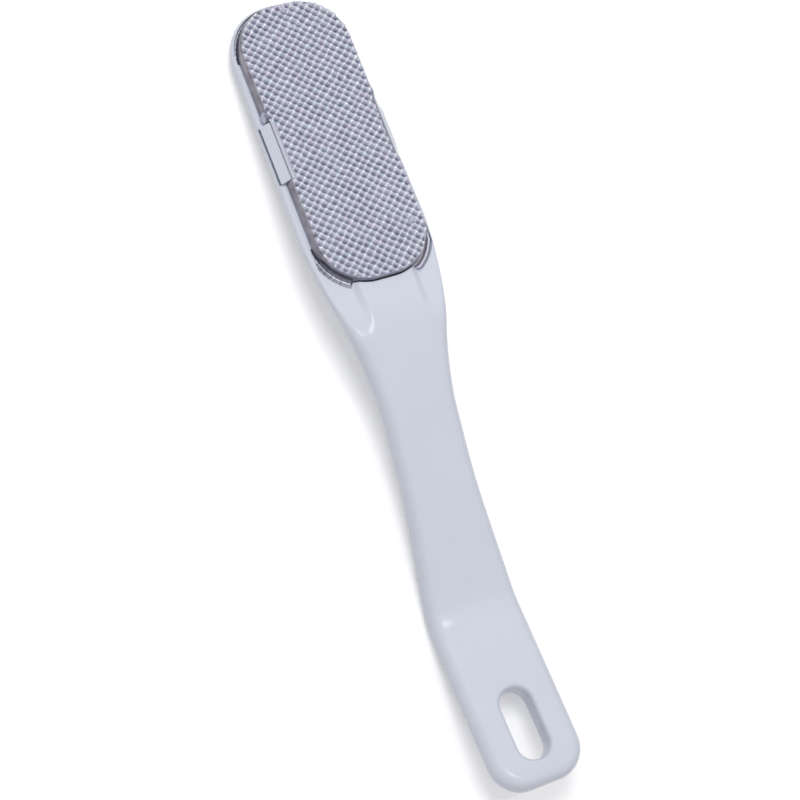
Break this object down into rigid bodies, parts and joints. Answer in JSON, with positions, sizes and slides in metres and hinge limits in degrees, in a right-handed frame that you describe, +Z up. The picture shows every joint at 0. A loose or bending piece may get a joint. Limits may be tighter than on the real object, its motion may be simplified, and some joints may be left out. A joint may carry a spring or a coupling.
{
  "type": "foot file",
  "caption": "Foot file with a stamped steel rasp pan held on the broad head of a bent moulded handle that ends in a hanging slot.",
  "frame": {"origin": "middle of the file's footprint on the table on which it lies, teeth up", "axes": "+Z up from the table, +Y from the grip towards the tip of the head, +X to the right seen from above with the tip away"},
  "size_m": [0.0402, 0.245, 0.0239],
  "materials": {
    "handle": "smooth moulded, very pale blue",
    "rasp_pan": "bright plated steel with stamped teeth"
  },
  "bodies": {
    "root": {"handle": "handle", "rasp_pan": "rasp_pan"}
  },
  "joints": []
}
